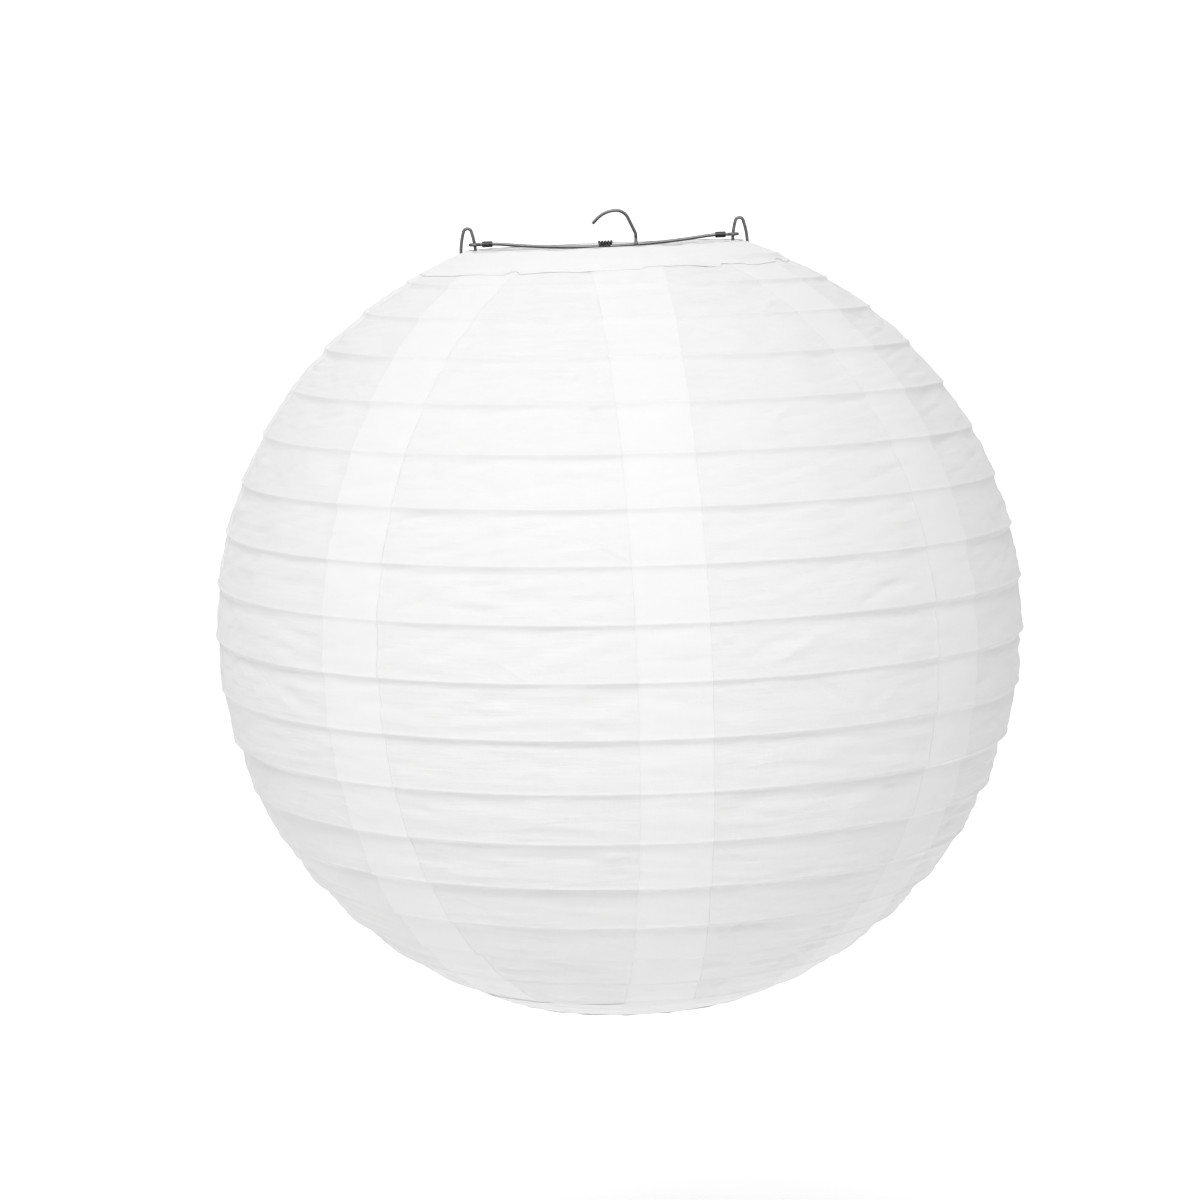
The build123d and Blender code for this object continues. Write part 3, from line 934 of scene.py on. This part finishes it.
class LANTERN_OT_stage(bpy.types.Operator):
    """Adds the floor, the soft lights and the camera"""

    bl_idname = "lantern.stage"
    bl_label = "Stage"

    def execute(self, context):
        scene = context.scene
        stage = scene.lantern_stage
        make_floor(stage.floor_drop)
        world = bpy.data.worlds.new("Pale sky")
        world.use_nodes = True
        background = next(n for n in world.node_tree.nodes if n.type == "BACKGROUND")
        background.inputs["Strength"].default_value = stage.world_strength
        place = world.node_tree.nodes.new("ShaderNodeTexCoord").outputs["Generated"]
        facing = world.node_tree.nodes.new("ShaderNodeVectorMath")
        facing.operation = "DOT_PRODUCT"
        facing.inputs[1].default_value = (-0.20, -0.48, 0.82)
        world.node_tree.links.new(place, facing.inputs[0])
        rise = add_math(world.node_tree, "MAXIMUM", facing.outputs["Value"], 0.0)
        sky = add_mix(world.node_tree, rise, (0.40, 0.40, 0.40), (1.0, 1.0, 1.0))
        world.node_tree.links.new(sky, background.inputs["Color"])
        scene.world = world
        add_area_light("key", CENTRE + KEY_PLACE, (1.2, 1.2), stage.key_power, CENTRE)
        camera_data = bpy.data.cameras.new("camera")
        camera_data.lens = stage.lens
        camera = bpy.data.objects.new("camera", camera_data)
        scene.collection.objects.link(camera)
        forward = Vector((0, -math.cos(stage.elevation), math.sin(stage.elevation)))
        place = CENTRE + stage.distance * forward
        aim(camera, place, CENTRE, stage.roll)
        context.view_layer.update()
        turn = camera.matrix_world.to_3x3()
        offset = turn @ CAMERA_SHIFT
        aim(camera, place + offset, CENTRE + offset, stage.roll)
        scene.camera = camera
        scene.view_settings.view_transform = "Standard"
        return {"FINISHED"}


# ------------------------------------------------------------------ panel and registration
class LANTERN_PT_sidebar(bpy.types.Panel):
    """Lists the lantern's settings and building steps"""

    bl_idname = "LANTERN_PT_sidebar"
    bl_label = "Paper lantern"
    bl_space_type = "VIEW_3D"
    bl_region_type = "UI"
    bl_category = "Lantern"

    def draw(self, context):
        layout = self.layout
        scene = context.scene
        for settings, steps in (
            (scene.lantern_paper, (LANTERN_OT_paper_panels, LANTERN_OT_hems)),
            (scene.lantern_wire, (LANTERN_OT_spiral_rib, LANTERN_OT_wire_finish)),
            (scene.lantern_stage, (LANTERN_OT_stage,)),
        ):
            box = layout.box()
            for name in settings.__annotations__:
                box.prop(settings, name)
            for step in steps:
                box.operator(step.bl_idname)


CLASSES = (
    PaperSettings,
    WireSettings,
    StageSettings,
    LANTERN_OT_paper_panels,
    LANTERN_OT_spiral_rib,
    LANTERN_OT_hems,
    LANTERN_OT_wire_finish,
    LANTERN_OT_stage,
    LANTERN_PT_sidebar,
)


def register():
    for cls in CLASSES:
        bpy.utils.register_class(cls)
    bpy.types.Scene.lantern_paper = PointerProperty(type=PaperSettings)
    bpy.types.Scene.lantern_wire = PointerProperty(type=WireSettings)
    bpy.types.Scene.lantern_stage = PointerProperty(type=StageSettings)


def unregister():
    del bpy.types.Scene.lantern_paper
    del bpy.types.Scene.lantern_wire
    del bpy.types.Scene.lantern_stage
    for cls in reversed(CLASSES):
        bpy.utils.unregister_class(cls)


def main():
    register()
    bpy.ops.lantern.spiral_rib()
    bpy.ops.lantern.paper_panels()
    bpy.ops.lantern.hems()
    bpy.ops.lantern.wire_finish()
    bpy.ops.lantern.stage()


if __name__ == "__main__":
    main()
